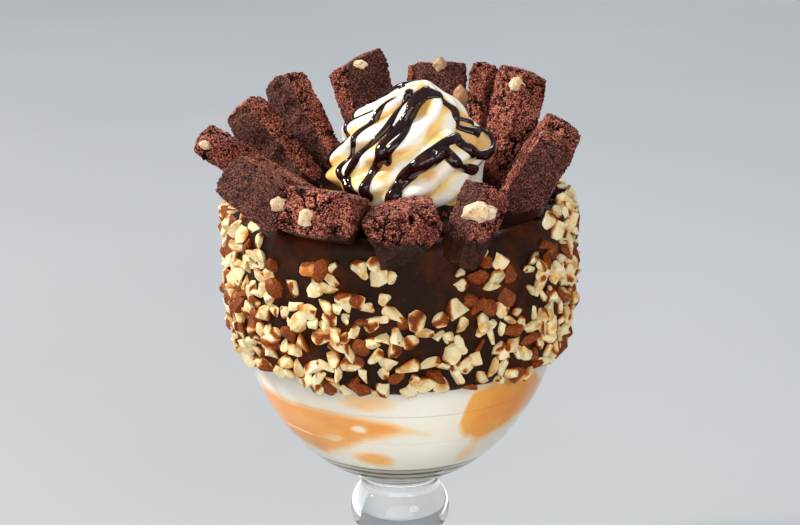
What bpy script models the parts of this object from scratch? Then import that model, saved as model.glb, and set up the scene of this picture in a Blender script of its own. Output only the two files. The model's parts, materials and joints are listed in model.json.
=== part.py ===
"""Ice cream sundae in a footed glass, with a ring of brownie fingers round a piped cream rosette.

Everything is in metres, +Z up, with the origin at the middle of the glass foot's flat underside.
Azimuths are degrees anticlockwise from +X seen from above, so -90 is the front.
"""

import math
from collections import namedtuple

import bmesh
import bpy
from mathutils import Matrix, Vector, noise

MM = 0.001
GAP = 0.3 * MM  # clearance between pieces that touch
SLEEVE = 0.35 * MM  # how far a cutter stands off the piece that it makes room for
NOISE_SEED = 4

# Glass: foot, lower neck, ball knop, collar and an elliptical bowl
FOOT_RADIUS = 46 * MM
FOOT_EDGE = 2.2 * MM
NECK_RADIUS = 13.5 * MM
NECK_Z = 24 * MM
KNOP_RADIUS = 20.8 * MM
KNOP_HALF_HEIGHT = 16.5 * MM
KNOP_Z = 44 * MM
COLLAR_RADIUS = 16.2 * MM
COLLAR_TOP = 58 * MM
COLLAR_FLARE = 1.04  # how much wider than the collar the bowl starts
BOWL_RADIUS = 68.5 * MM
BOWL_DEPTH = 90 * MM
BOWL_WIDEST_Z = 148 * MM
RIM_Z = 178 * MM
WALL = 3.6 * MM
BOWL_FLOOR = 8 * MM
SIDES = 36  # of everything that follows the glass round
BOWL_STEPS = 9

# Filling: vanilla ice cream with a seam of caramel, which pools thicker at some azimuths. A pool is
# an azimuth and a spread in degrees, then how far it dips and rises as shares of the swell.
CARAMEL_Z = 93 * MM
CARAMEL_THICKNESS = 5 * MM
CARAMEL_SWELL = 13 * MM
CARAMEL_POOLS = ((-140, 34, 1.0, 0.3), (-38, 26, 1.1, 1.0), (60, 45, 0.8, 0.2))
ICE_EDGE_Z = 172 * MM
ICE_DOME = 9 * MM
WALL_CELLS = 4
DISC_CELLS = 3
WALL_SEARCH_STEPS = 12

# Chocolate coat on the outside of the bowl, thick with chopped nuts and thin where it is bare
COAT_THICKNESS = 5.6 * MM
COAT_BARE_THICKNESS = 3 * MM
COAT_BARE_AZIMUTH = -84
COAT_BARE_SPREAD = 62
COAT_BARE_STRENGTH = 1.4
COAT_BARE_FROM_Z = 150 * MM
COAT_LOWER_Z = 113 * MM
COAT_WAVES = ((2.2, 3.6 * MM), (6, 1.8 * MM))  # of its lower edge: noise scale and height
COAT_ABOVE_RIM = 3.2 * MM
COAT_SHOULDER = 0.6  # of its thickness, how far the crown stands out
COAT_BARE_FADE = 12 * MM
COAT_EDGE_ROUNDING = 8 * MM
COAT_EDGE_SHARE = 0.25
COAT_BUMPS = 0.9 * MM
COAT_BUMP_SCALE = 90
COAT_RISES = 6

# Whipped cream rosette: a twisted, lobed dollop, widest above its foot and drawn to a point
CREAM_SIDES = 40
CREAM_RINGS = 13
CREAM_RADIUS = 32 * MM
CREAM_FOOT_SHARE = 0.74  # of the radius, at the foot
CREAM_BELLY = 0.22  # share of the height at which the rosette is widest
CREAM_LOBES = 6
CREAM_LOBE_DEPTH = 0.13
CREAM_TWIST = -2.2  # lobes that a straight line up the rosette crosses, foot to peak
CREAM_TOP_Z = 230 * MM
CREAM_OFFSET = 3.5 * MM
CREAM_LEAN = 6.5 * MM

# Brownie fingers, each pushed in beside the rosette. A tip and a root are an azimuth in degrees, a
# radius and a height in mm. Roll turns a finger about its own length and slant tilts the cut of its
# tip, in degrees. Its width runs round the glass and its thickness away from the middle, in mm.
Finger = namedtuple("Finger", "tip root roll slant width thickness")
FINGERS = (
    Finger((174, 82, 203), (168, 38, 174), 0, 0, 13, 13),
    Finger((154, 74, 210), (152, 34, 168), -10, 0, 14, 18),
    Finger((136, 69, 218), (132, 32, 168), 0, 12, 13, 19),
    Finger((108, 63, 224), (92, 36, 168), 15, -14, 24, 15),
    Finger((75, 62, 222), (69, 38, 168), 12, -4, 26, 15),
    Finger((56, 66, 223), (47, 42, 168), 0, 0, 10, 13),
    Finger((39, 67, 223), (23, 42, 168), -5, 14, 22, 15),
    Finger((4, 64, 204), (2, 38, 168), 0, 5, 20, 15),
    Finger((-29, 72, 216), (-34, 46, 168), 25, 10, 24, 17),
    Finger((-60, 68, 200), (-73, 73, 172), 15, 0, 19, 14),
    Finger((-89, 79, 184), (-87, 40, 180), -9, 4, 31, 22),
    Finger((-114, 79, 193), (-122, 42, 181), 22, 0, 31, 19),
    Finger((-134, 81, 197), (-151, 42, 180), 12, -6, 33, 19),
)
BROWNIE_CELL = 7 * MM
BROWNIE_ROUGHNESS = 0.9 * MM
BROWNIE_BUMP_SCALE = 90
BROWNIE_BUMP_SHIFT = Vector((7.3, 0, 3.1))  # from one finger's noise to the next one's
BROWNIE_BASE_TAPER = 0.74
SLEEVE_BASE_TAPER = 0.8
BROWNIE_EDGE = 0.8 * MM


def clear_scene():
    for obj in list(bpy.data.objects):
        bpy.data.objects.remove(obj, do_unlink=True)


def finish(name, color, roughness, transmission=0.0):
    """A Principled material of one colour."""
    material = bpy.data.materials.new(name)
    material.use_nodes = True
    shader = material.node_tree.nodes["Principled BSDF"]
    shader.inputs["Base Color"].default_value = (*color, 1)
    shader.inputs["Roughness"].default_value = roughness
    shader.inputs["Transmission Weight"].default_value = transmission
    return material


def add_object(name, mesh_data, material, smooth_angle=None):
    """Turns a bmesh into an object of triangles, with its faces pointing outwards."""
    bmesh.ops.recalc_face_normals(mesh_data, faces=mesh_data.faces)
    bmesh.ops.triangulate(mesh_data, faces=mesh_data.faces)
    mesh = bpy.data.meshes.new(name)
    mesh_data.to_mesh(mesh)
    mesh_data.free()
    mesh.materials.append(material)
    if smooth_angle is not None:
        mesh.shade_smooth()
        mesh.set_sharp_from_angle(angle=math.radians(smooth_angle))
    obj = bpy.data.objects.new(name, mesh)
    bpy.context.scene.collection.objects.link(obj)
    return obj


def spun(name, profile, sides, material):
    """A profile of (radius, height) points that starts and ends on the axis, turned about Z."""
    bm = bmesh.new()
    points = [bm.verts.new((radius, 0, height)) for radius, height in profile]
    edges = [bm.edges.new(pair) for pair in zip(points, points[1:])]
    bmesh.ops.spin(bm, geom=points + edges, axis=(0, 0, 1), cent=(0, 0, 0), steps=sides,
                   angle=2 * math.pi, use_duplicate=False)
    bmesh.ops.remove_doubles(bm, verts=bm.verts, dist=0.01 * MM)
    return add_object(name, bm, material, smooth_angle=35)


def lofted(name, sections, material, closed_ring):
    """A skin through sections of 3-D points round the axis.

    With closed_ring each section is a closed loop. Otherwise a section's two ends are poles that
    all sections share.
    """
    bm = bmesh.new()
    if closed_ring:
        loops = [[bm.verts.new(point) for point in section] for section in sections]
    else:
        first, last = bm.verts.new(sections[0][0]), bm.verts.new(sections[0][-1])
        loops = [[first] + [bm.verts.new(point) for point in section[1:-1]] + [last]
                 for section in sections]
    for here, beyond in zip(loops, loops[1:] + loops[:1]):
        spans = list(zip(range(len(here)), range(1, len(here))))
        if closed_ring:
            spans.append((len(here) - 1, 0))
        for low, high in spans:
            corners = dict.fromkeys((here[low], beyond[low], beyond[high], here[high]))
            bm.faces.new(corners)
    return add_object(name, bm, material, smooth_angle=40)


def around(sides):
    return [2 * math.pi * step / sides for step in range(sides)]


def on_circle(angle, radius, height):
    return Vector((radius * math.cos(angle), radius * math.sin(angle), height))


def arc(start, end, steps, point_at):
    """Points of a curve between two angles in degrees, both ends included."""
    turns = [math.radians(start + (end - start) * step / steps) for step in range(steps + 1)]
    return [point_at(turn) for turn in turns]


def bowl_curve(radius, depth, lowest):
    """The bowl's elliptical side from an angle below its widest point up to that point."""
    return arc(lowest, 0, BOWL_STEPS, lambda a: (radius * math.cos(a),
                                                 BOWL_WIDEST_Z + depth * math.sin(a)))


def bowl_outside():
    lowest = -math.degrees(math.acos(COLLAR_FLARE * COLLAR_RADIUS / BOWL_RADIUS))
    return bowl_curve(BOWL_RADIUS, BOWL_DEPTH, lowest)


def bowl_inside():
    return bowl_curve(BOWL_RADIUS - WALL, BOWL_DEPTH - BOWL_FLOOR, -90)


def radius_at(height, curve):
    """The radius of a curve of (radius, height) points that climbs, straight up above its end."""
    for (low_radius, low), (high_radius, high) in zip(curve, curve[1:]):
        if height <= high:
            return low_radius + (high_radius - low_radius) * max(height - low, 0) / (high - low)
    return curve[-1][0]


def outer_radius(height):
    return radius_at(height, bowl_outside())


def inner_radius(height):
    return radius_at(height, bowl_inside())


def glass_profile():
    """The glass's outline from the middle of the foot, up the outside, and down the inside."""
    knop_low = -math.degrees(math.acos(NECK_RADIUS / KNOP_RADIUS))
    knop_high = math.degrees(math.acos(COLLAR_RADIUS / KNOP_RADIUS))
    foot = [(0, 0)]
    foot += arc(-90, 60, 3, lambda a: (FOOT_RADIUS - FOOT_EDGE + FOOT_EDGE * math.cos(a),
                                       FOOT_EDGE + FOOT_EDGE * math.sin(a)))
    foot_top = FOOT_RADIUS - FOOT_EDGE
    flare = arc(0, 90, 4, lambda a: (foot_top - (foot_top - NECK_RADIUS) * math.sin(a),
                                     NECK_Z - (NECK_Z - 2 * FOOT_EDGE) * math.cos(a)))
    knop = arc(knop_low, knop_high, 7, lambda a: (KNOP_RADIUS * math.cos(a),
                                                  KNOP_Z + KNOP_HALF_HEIGHT * math.sin(a)))
    lip = WALL / 2
    rim = arc(0, 180, 4, lambda a: (BOWL_RADIUS - lip + lip * math.cos(a),
                                    RIM_Z - lip + lip * math.sin(a)))
    inside = bowl_inside()[::-1]
    inside[-1] = (0, inside[-1][1])
    collar = [(COLLAR_RADIUS, COLLAR_TOP)]
    return foot + flare + knop + collar + bowl_outside() + rim + inside


def make_glass():
    material = finish("clear_glass", (0.95, 0.97, 0.97), 0.02, transmission=1)
    return spun("glass", glass_profile(), SIDES, material)


def swell(angle, azimuth, spread):
    """A smooth bump round an azimuth, 1 at its middle."""
    away = math.remainder(angle - math.radians(azimuth), 2 * math.pi)
    return math.exp(-(away / math.radians(spread)) ** 2)


def caramel_bottom(angle, radius):
    dip = sum(dips * swell(angle, azimuth, spread) for azimuth, spread, dips, _ in CARAMEL_POOLS)
    return CARAMEL_Z - CARAMEL_THICKNESS / 2 - CARAMEL_SWELL * dip * radius / BOWL_RADIUS


def caramel_top(angle, radius):
    rise = sum(rises * swell(angle, azimuth, spread) for azimuth, spread, _, rises in CARAMEL_POOLS)
    return CARAMEL_Z + CARAMEL_THICKNESS / 2 + CARAMEL_SWELL * rise * radius / BOWL_RADIUS


def ice_top(_angle, radius):
    """The ice cream's domed top, a little below the rim at the wall."""
    share = min(radius / (BOWL_RADIUS - WALL), 1)
    return ICE_EDGE_Z + ICE_DOME * (1 - share * share)


def wall_height(surface, angle, offset):
    """Where a surface given by angle and radius meets the inside of the bowl."""
    height = surface(angle, BOWL_RADIUS)
    for _ in range(WALL_SEARCH_STEPS):
        height = surface(angle, inner_radius(height)) + offset
    return height


def disc_points(surface, angle, offset):
    """Points of a surface, moved up by an offset, from the axis out to the wall."""
    edge = inner_radius(wall_height(surface, angle, offset)) - GAP
    radii = [edge * step / DISC_CELLS for step in range(1, DISC_CELLS + 1)]
    return [Vector((0, 0, surface(0, 0) + offset))] + [
        on_circle(angle, radius, surface(angle, radius) + offset) for radius in radii]


def wall_points(angle, low, high):
    """Points up the inside of the bowl between two heights, both left out."""
    heights = [low + (high - low) * step / WALL_CELLS for step in range(1, WALL_CELLS)]
    return [on_circle(angle, inner_radius(height) - GAP, height) for height in heights]


def make_filling():
    """The lower ice cream, the caramel seam and the upper ice cream, stacked with small gaps."""
    vanilla = finish("vanilla_ice_cream", (0.87, 0.84, 0.76), 0.5)
    caramel = finish("caramel", (0.80, 0.45, 0.14), 0.25)
    floor = Vector((0, 0, BOWL_WIDEST_Z - BOWL_DEPTH + BOWL_FLOOR + GAP))
    lower, seam, upper = [], [], []
    for angle in around(SIDES):
        under = disc_points(caramel_bottom, angle, -GAP)
        lower.append([floor] + wall_points(angle, floor.z, under[-1].z) + under[::-1])
        seam.append(disc_points(caramel_bottom, angle, 0) + disc_points(caramel_top, angle, 0)[::-1])
        above = disc_points(caramel_top, angle, GAP)
        dome = disc_points(ice_top, angle, 0)
        upper.append(above + wall_points(angle, above[-1].z, dome[-1].z) + dome[::-1])
    lofted("ice_cream_lower", lower, vanilla, closed_ring=False)
    lofted("caramel_seam", seam, caramel, closed_ring=False)
    return lofted("ice_cream_upper", upper, vanilla, closed_ring=False)


def coat_lower_edge(angle):
    waves = sum(height * noise.noise(on_circle(angle, scale, scale)) for scale, height in COAT_WAVES)
    return COAT_LOWER_Z + waves


def coat_heights(angle):
    low, high = coat_lower_edge(angle), RIM_Z - WALL / 2
    return [low + (high - low) * step / COAT_RISES for step in range(COAT_RISES + 1)]


def coat_thickness(angle, height):
    """The coat's thickness: rounded off at its lower edge, and thin on the bare stretch in front."""
    above = (height - coat_lower_edge(angle)) / COAT_EDGE_ROUNDING
    fullness = COAT_EDGE_SHARE + (1 - COAT_EDGE_SHARE) * min(above, 1)
    bare = min(COAT_BARE_STRENGTH * swell(angle, COAT_BARE_AZIMUTH, COAT_BARE_SPREAD), 1)
    bare *= min(max((height - COAT_BARE_FROM_Z) / COAT_BARE_FADE, 0), 1)
    bump = COAT_BUMPS * noise.noise(on_circle(angle, 5, COAT_BUMP_SCALE * height))
    return fullness * (COAT_THICKNESS + bump - (COAT_THICKNESS - COAT_BARE_THICKNESS) * bare)


def coat_skin(angle, margin):
    """The coat's outer side from its lower edge up to the crown over the rim."""
    skin = [on_circle(angle, outer_radius(height) + GAP + coat_thickness(angle, height) + margin, height)
            for height in coat_heights(angle)]
    thickness = coat_thickness(angle, RIM_Z)
    crown = RIM_Z + COAT_ABOVE_RIM + margin
    shoulder = BOWL_RADIUS + COAT_SHOULDER * thickness + margin
    return skin + [on_circle(angle, shoulder, crown - (1 - COAT_SHOULDER) * thickness),
                   on_circle(angle, BOWL_RADIUS, crown),
                   on_circle(angle, BOWL_RADIUS - WALL - margin, crown - GAP)]


def coat_section(angle):
    """The coat's closed outline at an angle, from its lower edge up over the rim."""
    inside = [on_circle(angle, outer_radius(height) + GAP, height) for height in coat_heights(angle)]
    lip = [on_circle(angle, BOWL_RADIUS + GAP - 0.3 * WALL, RIM_Z - 0.1 * WALL + GAP),
           on_circle(angle, BOWL_RADIUS - WALL / 2, RIM_Z + GAP),
           on_circle(angle, BOWL_RADIUS - WALL, RIM_Z + GAP)]
    return inside + lip + coat_skin(angle, 0)[::-1]


def make_coat():
    material = finish("nut_coat", (0.16, 0.07, 0.03), 0.4)
    sections = [coat_section(angle) for angle in around(SIDES)]
    return lofted("nut_coat", sections, material, closed_ring=True)


def make_rim_room(material):
    """A hidden ring round the rim and its coat, which notches the fingers that sit astride it."""
    sections = []
    for angle in around(SIDES):
        skin = coat_skin(angle, GAP)
        inner = BOWL_RADIUS - WALL - GAP
        sections.append([on_circle(angle, inner, skin[0].z)] + skin + [on_circle(angle, inner, RIM_Z)])
    ring = lofted("rim_room", sections, material, closed_ring=True)
    hide(ring)
    return ring


def cream_radius(angle, share):
    """The rosette's radius at a share of its height."""
    swelling = math.sin(min(share / CREAM_BELLY, 1) * math.pi / 2)
    belly = CREAM_FOOT_SHARE + (1 - CREAM_FOOT_SHARE) * swelling
    taper = math.sqrt(1 - max(share - CREAM_BELLY, 0) / (1 - CREAM_BELLY))
    lobes = math.cos(CREAM_LOBES * angle + CREAM_TWIST * 2 * math.pi * share)
    return CREAM_RADIUS * belly * taper * (1 + CREAM_LOBE_DEPTH * lobes * (1 - 0.5 * share))


def make_cream():
    material = finish("whipped_cream", (0.93, 0.89, 0.80), 0.45)
    foot_z = ice_top(0, 0) + GAP
    sections = []
    for angle in around(CREAM_SIDES):
        points = [Vector((CREAM_OFFSET, 0, foot_z))]
        for ring in range(CREAM_RINGS):
            share = ring / CREAM_RINGS
            radius = cream_radius(angle, share)
            height = foot_z + (CREAM_TOP_Z - foot_z) * share
            aside = Vector((CREAM_OFFSET + CREAM_LEAN * share * share, 0, 0))
            points.append(on_circle(angle, radius, height) + aside)
        points.append(Vector((CREAM_OFFSET + CREAM_LEAN, 0, CREAM_TOP_Z)))
        sections.append(points)
    return lofted("whipped_cream", sections, material, closed_ring=False)


def polar(azimuth, radius, height):
    return on_circle(math.radians(azimuth), radius * MM, height * MM)


def finger_length(finger):
    return (polar(*finger.tip) - polar(*finger.root)).length


def finger_place(finger):
    """The matrix of a finger whose tip is at the origin and whose length runs down -Z.

    Its thickness is along X, which points away from the middle of the glass, and its width along Y.
    """
    up = (polar(*finger.tip) - polar(*finger.root)).normalized()
    across = up.cross(polar(finger.tip[0], 1, 0)).normalized()
    turned = Matrix((across.cross(up), across, up)).transposed().to_4x4()
    return (Matrix.Translation(polar(*finger.tip)) @ turned
            @ Matrix.Rotation(math.radians(finger.roll), 4, "Z"))


def block(size, cells, taper):
    """A bmesh block that hangs below the origin, cut into cells and narrower at its foot."""
    bm = bmesh.new()
    bmesh.ops.create_cube(bm, size=1)
    for axis, count in enumerate(cells):
        for cut in range(1, count):
            place = Vector((0, 0, 0))
            place[axis] = cut / count - 0.5
            normal = Vector((0, 0, 0))
            normal[axis] = 1
            bmesh.ops.bisect_plane(bm, geom=bm.verts[:] + bm.edges[:] + bm.faces[:],
                                   plane_co=place, plane_no=normal)
    for vert in bm.verts:
        narrowing = taper + (1 - taper) * (vert.co.z + 0.5)
        vert.co = Vector((vert.co.x * size.x, vert.co.y * size.y * narrowing,
                          (vert.co.z - 0.5) * size.z))
    return bm


def roughen(vert, half, index):
    """Draws a block's edges in a little and gives its skin small bumps."""
    away = vert.co + Vector((0, 0, half.z))
    limits = (half.x, half.y * BROWNIE_BASE_TAPER, half.z)
    outer = [abs(value) > limit - BROWNIE_EDGE for value, limit in zip(away, limits)]
    pull = BROWNIE_EDGE * max(sum(outer) - 1, 0)
    inward = [-math.copysign(pull, value) if is_outer else 0 for value, is_outer in zip(away, outer)]
    bump = noise.noise_vector(vert.co * BROWNIE_BUMP_SCALE + index * BROWNIE_BUMP_SHIFT)
    return vert.co + Vector(inward) + bump * BROWNIE_ROUGHNESS


def make_brownie(index, finger, material):
    """One brownie finger: a torn block with soft edges, an uneven skin and a slanted tip."""
    size = Vector((finger.thickness * MM, finger.width * MM, finger_length(finger)))
    bm = block(size, [max(2, round(side / BROWNIE_CELL)) for side in size], BROWNIE_BASE_TAPER)
    slope = math.tan(math.radians(finger.slant))
    for vert in bm.verts:
        vert.co = roughen(vert, size / 2, index)
        vert.co.z += slope * vert.co.y * (1 + vert.co.z / size.z)
    bmesh.ops.transform(bm, matrix=finger_place(finger), verts=bm.verts)
    return add_object(f"brownie_{index:02d}", bm, material, smooth_angle=30)


def make_sleeve(index, finger, material):
    """A hidden block round a finger, which makes room for it in what it is pushed into."""
    margin = 2 * (BROWNIE_ROUGHNESS + SLEEVE)
    size = Vector((finger.thickness * MM, finger.width * MM, finger_length(finger)))
    bm = block(size + Vector((margin, margin, margin)), (1, 1, 1), SLEEVE_BASE_TAPER)
    bmesh.ops.transform(bm, matrix=Matrix.Translation((0, 0, margin / 2)), verts=bm.verts)
    bmesh.ops.transform(bm, matrix=finger_place(finger), verts=bm.verts)
    sleeve = add_object(f"sleeve_{index:02d}", bm, material)
    hide(sleeve)
    return sleeve


def hide(helper):
    helper.hide_render = True
    helper.display_type = "WIRE"


def cut(obj, cutter):
    boolean = obj.modifiers.new(f"cut_{cutter.name}", "BOOLEAN")
    boolean.operation = "DIFFERENCE"
    boolean.object = cutter


def make_brownies():
    """The fingers and their sleeves. A finger gives way to the one before it where they press."""
    crumb = finish("brownie", (0.10, 0.035, 0.025), 0.75)
    helper = finish("helper", (1, 0, 0), 1)
    fingers = [make_brownie(index, finger, crumb) for index, finger in enumerate(FINGERS, start=1)]
    sleeves = [make_sleeve(index, finger, helper) for index, finger in enumerate(FINGERS, start=1)]
    rim_room = make_rim_room(helper)
    for place, finger in enumerate(fingers):
        cut(finger, rim_room)
        cut(finger, sleeves[place - 1])
    return sleeves


def main():
    clear_scene()
    noise.seed_set(NOISE_SEED)
    make_glass()
    upper_ice_cream = make_filling()
    make_coat()
    cream = make_cream()
    for sleeve in make_brownies():
        cut(upper_ice_cream, sleeve)
        cut(cream, sleeve)


main()
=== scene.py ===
"""Ice cream sundae in a footed glass: the finished surfaces, built round the part's frame.

Everything is in metres, +Z up, with the origin under the middle of the glass's foot. Azimuths are
degrees anticlockwise from +X seen from above, so -90 is the front.
"""

import json
import math
import random

import bmesh
import bpy
import numpy as np
from bpy.props import FloatProperty, FloatVectorProperty, IntProperty, PointerProperty
from mathutils import Matrix, Vector, noise
from mathutils.bvhtree import BVHTree

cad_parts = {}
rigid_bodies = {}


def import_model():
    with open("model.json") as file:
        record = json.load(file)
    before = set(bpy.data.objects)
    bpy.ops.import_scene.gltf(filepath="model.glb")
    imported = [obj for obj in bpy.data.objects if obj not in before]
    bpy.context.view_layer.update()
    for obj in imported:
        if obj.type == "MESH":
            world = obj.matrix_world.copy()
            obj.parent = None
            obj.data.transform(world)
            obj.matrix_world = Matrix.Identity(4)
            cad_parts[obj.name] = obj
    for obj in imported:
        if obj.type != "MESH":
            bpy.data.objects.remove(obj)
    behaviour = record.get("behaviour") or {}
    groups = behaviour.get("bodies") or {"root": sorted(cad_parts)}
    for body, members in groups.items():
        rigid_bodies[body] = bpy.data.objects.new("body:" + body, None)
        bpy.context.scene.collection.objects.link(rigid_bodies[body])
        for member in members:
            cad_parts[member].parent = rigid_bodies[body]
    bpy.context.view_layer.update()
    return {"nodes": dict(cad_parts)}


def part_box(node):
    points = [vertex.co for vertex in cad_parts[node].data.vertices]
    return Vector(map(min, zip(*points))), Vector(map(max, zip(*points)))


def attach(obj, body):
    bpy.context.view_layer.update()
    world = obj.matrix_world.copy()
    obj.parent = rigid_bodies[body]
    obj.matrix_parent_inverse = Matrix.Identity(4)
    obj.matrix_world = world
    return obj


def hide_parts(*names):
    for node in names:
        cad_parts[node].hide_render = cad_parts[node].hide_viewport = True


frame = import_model()

bl_info = {
    "name": "Ice Cream Sundae",
    "version": (1, 0, 0),
    "blender": (4, 5, 0),
    "location": "3D View > Sidebar > Sundae",
    "description": "Builds an ice cream sundae with brownie fingers, almonds and a cream rosette",
    "category": "Object",
}

MM = 0.001
BODY = "root"
NOISE_SEED = 11
_, GLASS_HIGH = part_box("glass")
CREAM_LOW, CREAM_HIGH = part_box("whipped_cream")
BOWL_RADIUS = GLASS_HIGH.x
INSIDE_RADIUS = BOWL_RADIUS - 3.6 * MM
RIM_Z = GLASS_HIGH.z
BROWNIES = sorted(name for name in frame["nodes"] if name.startswith("brownie_"))


# ---- settings ----

def number(name, description, default, **more):
    return FloatProperty(name=name, description=description, default=default, **more)


def length(name, description, millimetres):
    return number(name, description, millimetres * MM, unit="LENGTH", precision=4)


def paint(name, description, default):
    return FloatVectorProperty(name=name, description=description, default=default, subtype="COLOR",
                               size=3, min=0, max=1)


class GlassSettings(bpy.types.PropertyGroup):
    wall: length("Wall", "Thickness of the bowl's wall", 3.6)
    floor_z: length("Floor height", "Height of the bowl's flat floor", 66.5)
    foot_edge: length("Foot edge", "Radius of the foot's rounded edge", 2.2)
    foot_radius: length("Foot radius", "Radius of the foot", 46)
    neck_radius: length("Neck radius", "Radius of the stem above the foot", 13.5)
    neck_z: length("Neck height", "Where the foot's flare ends", 24)
    knop_radius: length("Knop radius", "Radius of the ball in the stem", 20.8)
    knop_half: length("Knop half height", "Half of the ball's height before it is cut off", 16.5)
    knop_z: length("Knop middle", "Height of the ball's middle", 44)
    collar_radius: length("Collar radius", "Radius of the collar under the bowl", 16.2)
    collar_top: length("Collar top", "Height of the collar's top", 58)
    widest_z: length("Widest height", "Where the bowl is widest", 148)
    depth: length("Depth", "From there down to the bowl's lowest point", 90)
    tint: paint("Tint", "Colour of the glass", (0.992, 1.0, 0.998))


class FillingSettings(bpy.types.PropertyGroup):
    into_wall: length("Into the wall", "How far the filling reaches into the glass", 0.3)
    edge_z: length("Edge height", "Top of the ice cream at the wall", 172)
    dome: length("Dome", "How much higher it is in the middle", 9)
    vanilla: paint("Vanilla", "Colour of the ice cream", (0.91, 0.885, 0.80))
    caramel: paint("Caramel", "Colour of the caramel", (0.93, 0.36, 0.05))


class CoatSettings(bpy.types.PropertyGroup):
    thickness: length("Thickness", "Thickness of the chocolate on the glass", 2.0)
    lower_z: length("Lower edge", "Mean height of the lower edge", 118)
    above_rim: length("Above the rim", "How far the chocolate stands over the rim", 3.2)
    bulge: length("Bulge", "How far it swells in front under the fingers", 2.2)
    color: paint("Chocolate", "Colour of the set chocolate", (0.082, 0.0155, 0.0030))


class AlmondSettings(bpy.types.PropertyGroup):
    spacing: length("Spacing", "Least distance between two pieces", 4.45)
    size: length("Size", "Length of a middling piece", 8.8)
    kinds: IntProperty(name="Kinds", description="How many different pieces are chopped", default=24)
    flesh: paint("Flesh", "Colour of the cut almond", (0.84, 0.64, 0.29))
    skin: paint("Skin", "Colour of the almond's skin", (0.16, 0.028, 0.004))


class BrownieSettings(bpy.types.PropertyGroup):
    voxel: length("Voxel", "Size of the mesh's cells", 0.42)
    crumb: length("Crumb", "Size of a crumb", 1.0)
    loose: length("Loose crumbs", "Size of a fallen crumb", 1.8)
    roughness: length("Roughness", "Height of the crumb", 0.5)
    color: paint("Crumb colour", "Colour of the brownie", (0.165, 0.034, 0.023))
    # The crumb edges' colour is a painted highlight, where crumbs would catch the light.
    painted_glint: paint("Crumb edges", "Colour where crumbs catch the light", (0.76, 0.24, 0.152))
    walnut: paint("Walnut", "Colour of the walnut pieces", (0.90, 0.76, 0.52))


class CreamSettings(bpy.types.PropertyGroup):
    lobes: IntProperty(name="Lobes", description="Ridges that the piping tip leaves", default=9)
    lobe_depth: length("Lobe depth", "Depth of the valleys between the ridges", 5.2)
    twist: number("Twist", "Lobes crossed from foot to peak", -4.2)
    tiers: number("Tiers", "Turns that the piping goes round", 2.6)
    # Painted glow: emission that stands in for light scattered inside the cream.
    painted_glow: number("Glow", "How much scattered light comes back out of it", 0.12, subtype="FACTOR")
    color: paint("Cream", "Colour of the whipped cream", (0.98, 0.93, 0.83))
    stain: paint("Stain", "Colour of the caramel on it", (0.90, 0.44, 0.07))


class SauceSettings(bpy.types.PropertyGroup):
    strand: length("Strand", "Radius of a strand of chocolate sauce", 1.55)
    color: paint("Sauce", "Colour of the chocolate sauce", (0.012, 0.0022, 0.0018))


class StageSettings(bpy.types.PropertyGroup):
    distance: length("Distance", "From the camera to the middle of the sundae", 990)
    aim_z: length("Aim height", "Height that the camera looks at", 151.5)
    elevation: number("Elevation", "Angle of the camera above the horizon", math.radians(17.28),
                      subtype="ANGLE")
    lens: number("Lens", "Focal length in mm on a 36 mm sensor", 108.27, unit="CAMERA")
    floor: paint("Floor", "Colour of the floor", (0.43, 0.45, 0.47))


class SundaeSettings(bpy.types.PropertyGroup):
    glass: PointerProperty(type=GlassSettings)
    filling: PointerProperty(type=FillingSettings)
    coat: PointerProperty(type=CoatSettings)
    almonds: PointerProperty(type=AlmondSettings)
    brownies: PointerProperty(type=BrownieSettings)
    cream: PointerProperty(type=CreamSettings)
    sauce: PointerProperty(type=SauceSettings)
    stage: PointerProperty(type=StageSettings)


# ---- node trees ----

class Wire:
    """An output socket whose operators add Math nodes, so that a pattern reads as a formula."""

    def __init__(self, nodes, socket):
        self.nodes = nodes
        self.socket = socket

    def math(self, operation, *values):
        inputs = dict(enumerate(values or (self,)))
        return self.nodes.add("ShaderNodeMath", inputs, operation=operation)

    def __add__(self, other):
        return self.math("ADD", self, other)

    def __sub__(self, other):
        return self.math("SUBTRACT", self, other)

    def __mul__(self, other):
        return self.math("MULTIPLY", self, other)

    def __rsub__(self, other):
        return self.math("SUBTRACT", other, self)

    def __rtruediv__(self, other):
        return self.math("DIVIDE", other, self)

    __radd__ = __add__
    __rmul__ = __mul__

    def rise(self, low, high):
        """0 below low and 1 above high, with a smooth rise between. With low above high it falls."""
        inputs = {"Value": self, "From Min": low, "From Max": high}
        return self.nodes.add("ShaderNodeMapRange", inputs, interpolation_type="SMOOTHSTEP")


class Nodes:
    """Adds nodes to one tree. Its textures lie at its place unless they are given another."""

    def __init__(self, tree):
        self.tree = tree
        self.place = None

    def add(self, kind, inputs=None, output=0, **settings):
        """A node of a kind, with its settings made first, then its sockets' values and links."""
        node = self.tree.nodes.new(kind)
        for name, value in settings.items():
            setattr(node, name, value)
        for name, value in (inputs or {}).items():
            if isinstance(value, Wire):
                self.tree.links.new(value.socket, node.inputs[name])
            else:
                node.inputs[name].default_value = value
        return Wire(self, node.outputs[output]) if len(node.outputs) else node

    def noise(self, scale, detail=2.0, roughness=0.5, distortion=0.0, place=None, output=0):
        inputs = {"Vector": place or self.place, "Scale": scale, "Detail": detail, "Roughness": roughness,
                  "Distortion": distortion}
        return self.add("ShaderNodeTexNoise", inputs, output)

    def cells(self, scale, feature="F1", place=None):
        inputs = {"Vector": place or self.place, "Scale": scale}
        return self.add("ShaderNodeTexVoronoi", inputs, "Distance", feature=feature)

    def sum(self, first, second):
        return self.add("ShaderNodeVectorMath", {0: first, 1: second}, operation="ADD")

    def scaled(self, vector, factor):
        return self.add("ShaderNodeVectorMath", {0: vector, "Scale": factor}, operation="SCALE")

    def combined(self, **parts):
        return self.add("ShaderNodeCombineXYZ", parts)


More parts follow.
